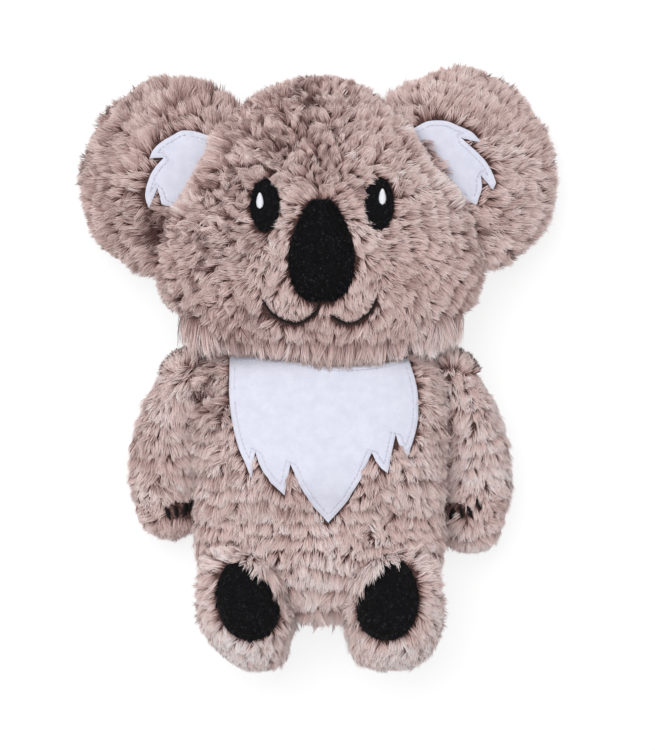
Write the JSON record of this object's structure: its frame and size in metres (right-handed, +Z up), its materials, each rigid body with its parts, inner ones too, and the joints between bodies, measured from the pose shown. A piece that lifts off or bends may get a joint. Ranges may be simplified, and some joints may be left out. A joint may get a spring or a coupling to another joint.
{
  "type": "plush koala",
  "caption": "Stuffed long-pile koala with round ears, white felt bib and ear linings, black felt nose, eyes and foot pads; head, ears, arms and legs flex at their seams.",
  "frame": {"origin": "on the surface that the koala lies on, under the middle of its outline", "axes": "+Z up out of the face and belly, +Y towards the crown of the head, +X to the right of someone looking down at the face"},
  "size_m": [0.2563, 0.3282, 0.0875],
  "materials": {
    "plush": "long-pile plush, taupe with paler tips",
    "stuffing": "loose polyester fibre",
    "white_felt": "white short-nap felt",
    "black_felt": "black brushed felt",
    "black_thread": "black embroidery thread",
    "white_thread": "white embroidery thread"
  },
  "bodies": {
    "torso": {"body": "plush", "body_stuffing": "stuffing", "bib": "white_felt"},
    "head": {"head": "plush", "head_stuffing": "stuffing", "nose": "black_felt", "nose_wadding": "stuffing", "mouth_left": "black_thread", "mouth_right": "black_thread", "left_eye": "black_felt", "left_eye_glint": "white_thread", "right_eye": "black_felt", "right_eye_glint": "white_thread"},
    "left_ear": {"left_ear": "plush", "left_ear_stuffing": "stuffing", "left_ear_felt": "white_felt"},
    "right_ear": {"right_ear": "plush", "right_ear_stuffing": "stuffing", "right_ear_felt": "white_felt"},
    "left_arm": {"left_arm": "plush", "left_arm_stuffing": "stuffing", "left_claw_1": "black_thread", "left_claw_2": "black_thread", "left_claw_3": "black_thread", "left_claw_4": "black_thread"},
    "right_arm": {"right_arm": "plush", "right_arm_stuffing": "stuffing", "right_claw_1": "black_thread", "right_claw_2": "black_thread", "right_claw_3": "black_thread", "right_claw_4": "black_thread"},
    "left_leg": {"left_leg": "plush", "left_leg_stuffing": "stuffing", "left_foot_pad": "black_felt"},
    "right_leg": {"right_leg": "plush", "right_leg_stuffing": "stuffing", "right_foot_pad": "black_felt"}
  },
  "joints": [
    {"name": "neck_nod", "type": "hinge", "parent": "torso", "child": "head", "pos_m": [0, 0.0127, 0.036], "axis": [1, 0, 0], "range_deg": [0, 15], "stiffness_Nm_per_rad": 0.3},
    {"name": "left_ear_flap", "type": "hinge", "parent": "head", "child": "left_ear", "pos_m": [-0.0701, 0.1006, 0.036], "axis": [0.4242, 0.9056, 0], "range_deg": [0, 25], "stiffness_Nm_per_rad": 0.05},
    {"name": "right_ear_flap", "type": "hinge", "parent": "head", "child": "right_ear", "pos_m": [0.0661, 0.1036, 0.036], "axis": [0.512, -0.859, 0], "range_deg": [0, 25], "stiffness_Nm_per_rad": 0.05},
    {"name": "left_arm_swing", "type": "hinge", "parent": "torso", "child": "left_arm", "pos_m": [-0.067, -0.008, 0.03], "axis": [-1, 0, 0], "range_deg": [0, 60], "stiffness_Nm_per_rad": 0.05},
    {"name": "right_arm_swing", "type": "hinge", "parent": "torso", "child": "right_arm", "pos_m": [0.067, -0.008, 0.03], "axis": [-1, 0, 0], "range_deg": [0, 60], "stiffness_Nm_per_rad": 0.05},
    {"name": "left_leg_swing", "type": "hinge", "parent": "torso", "child": "left_leg", "pos_m": [-0.0462, -0.0984, 0.038], "axis": [-1, 0, 0], "range_deg": [-10, 25], "stiffness_Nm_per_rad": 0.05},
    {"name": "right_leg_swing", "type": "hinge", "parent": "torso", "child": "right_leg", "pos_m": [0.0424, -0.0984, 0.038], "axis": [-1, 0, 0], "range_deg": [-10, 25], "stiffness_Nm_per_rad": 0.05}
  ]
}
